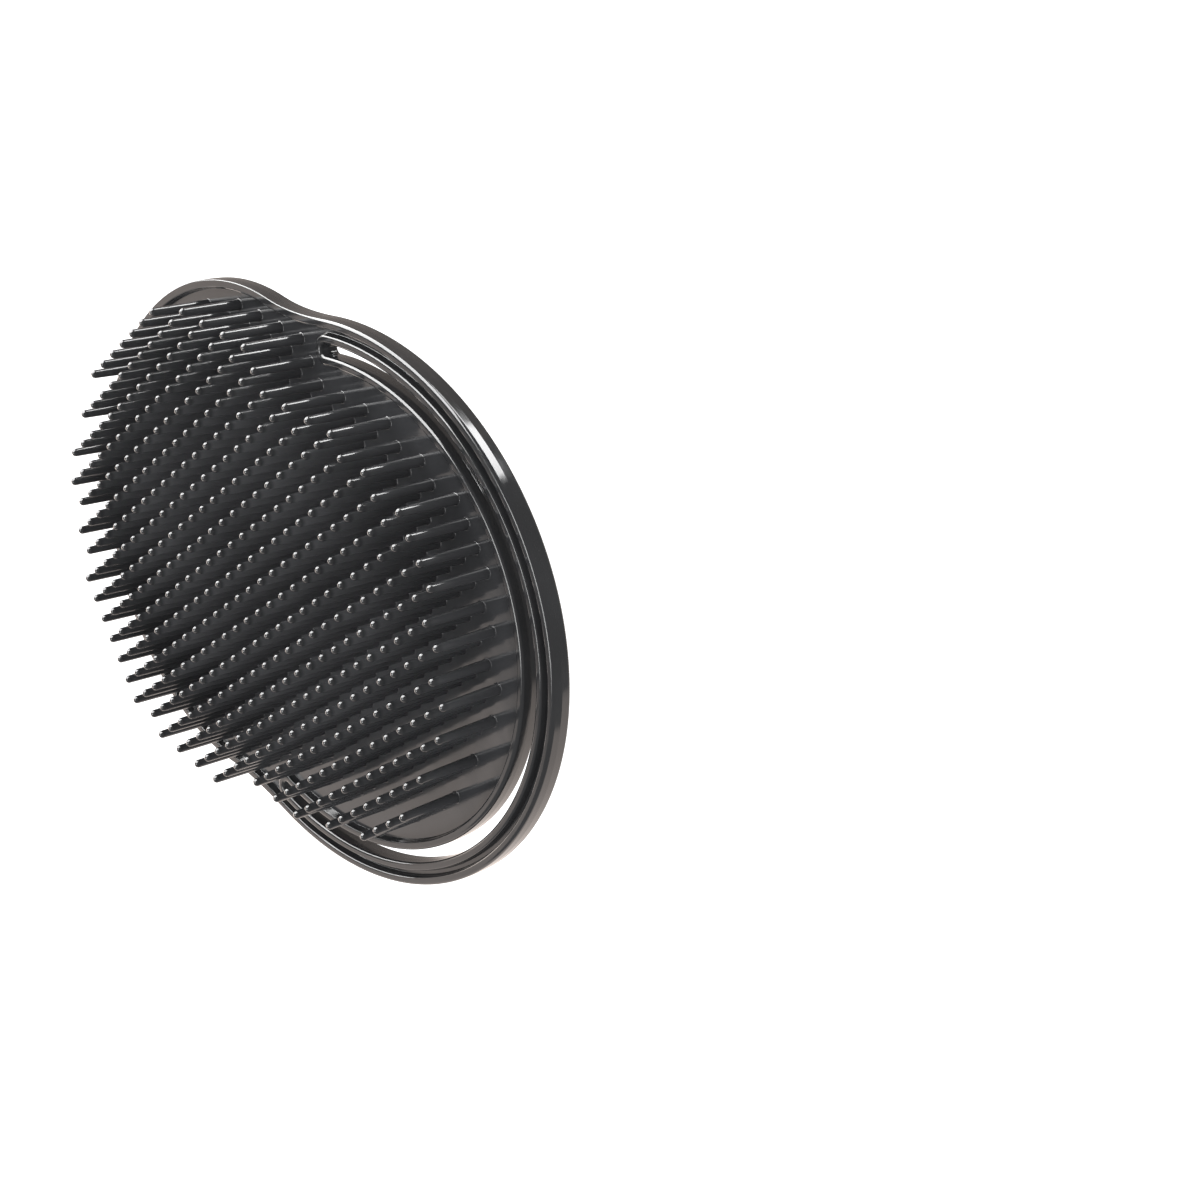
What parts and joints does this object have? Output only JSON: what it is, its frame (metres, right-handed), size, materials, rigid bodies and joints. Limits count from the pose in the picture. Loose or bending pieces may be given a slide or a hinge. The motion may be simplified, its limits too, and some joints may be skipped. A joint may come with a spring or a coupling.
{
  "type": "scalp brush",
  "caption": "Flat palm scalp brush: oval plate with a raised rim, stiff tapered pins set cornerwise, and a swinging finger loop round the toe end.",
  "frame": {"origin": "middle of the whole footprint, in the plane of the flat back", "axes": "+X towards the loop end, +Y across the brush, +Z out of the floor along the pins"},
  "size_m": [0.1062, 0.0818, 0.012],
  "materials": {
    "black_plastic": "glossy moulded, black",
    "pins": "glossy moulded, black"
  },
  "bodies": {
    "plate": {"back_plate": "black_plastic", "heel_rim": "black_plastic", "toe_rim": "black_plastic", "pin_bank_1": "pins", "pin_bank_2": "pins", "pin_bank_3": "pins", "pin_bank_4": "pins", "pin_bank_5": "pins", "pin_bank_6": "pins"},
    "loop": {"loop_arm_left": "black_plastic", "loop_arm_right": "black_plastic", "loop_bow": "black_plastic"}
  },
  "joints": [
    {"name": "loop_swing", "type": "hinge", "parent": "plate", "child": "loop", "pos_m": [0.0021, 0, 0.00155], "axis": [0, 1, 0], "range_deg": [0, 40], "stiffness_Nm_per_rad": 0.1}
  ]
}
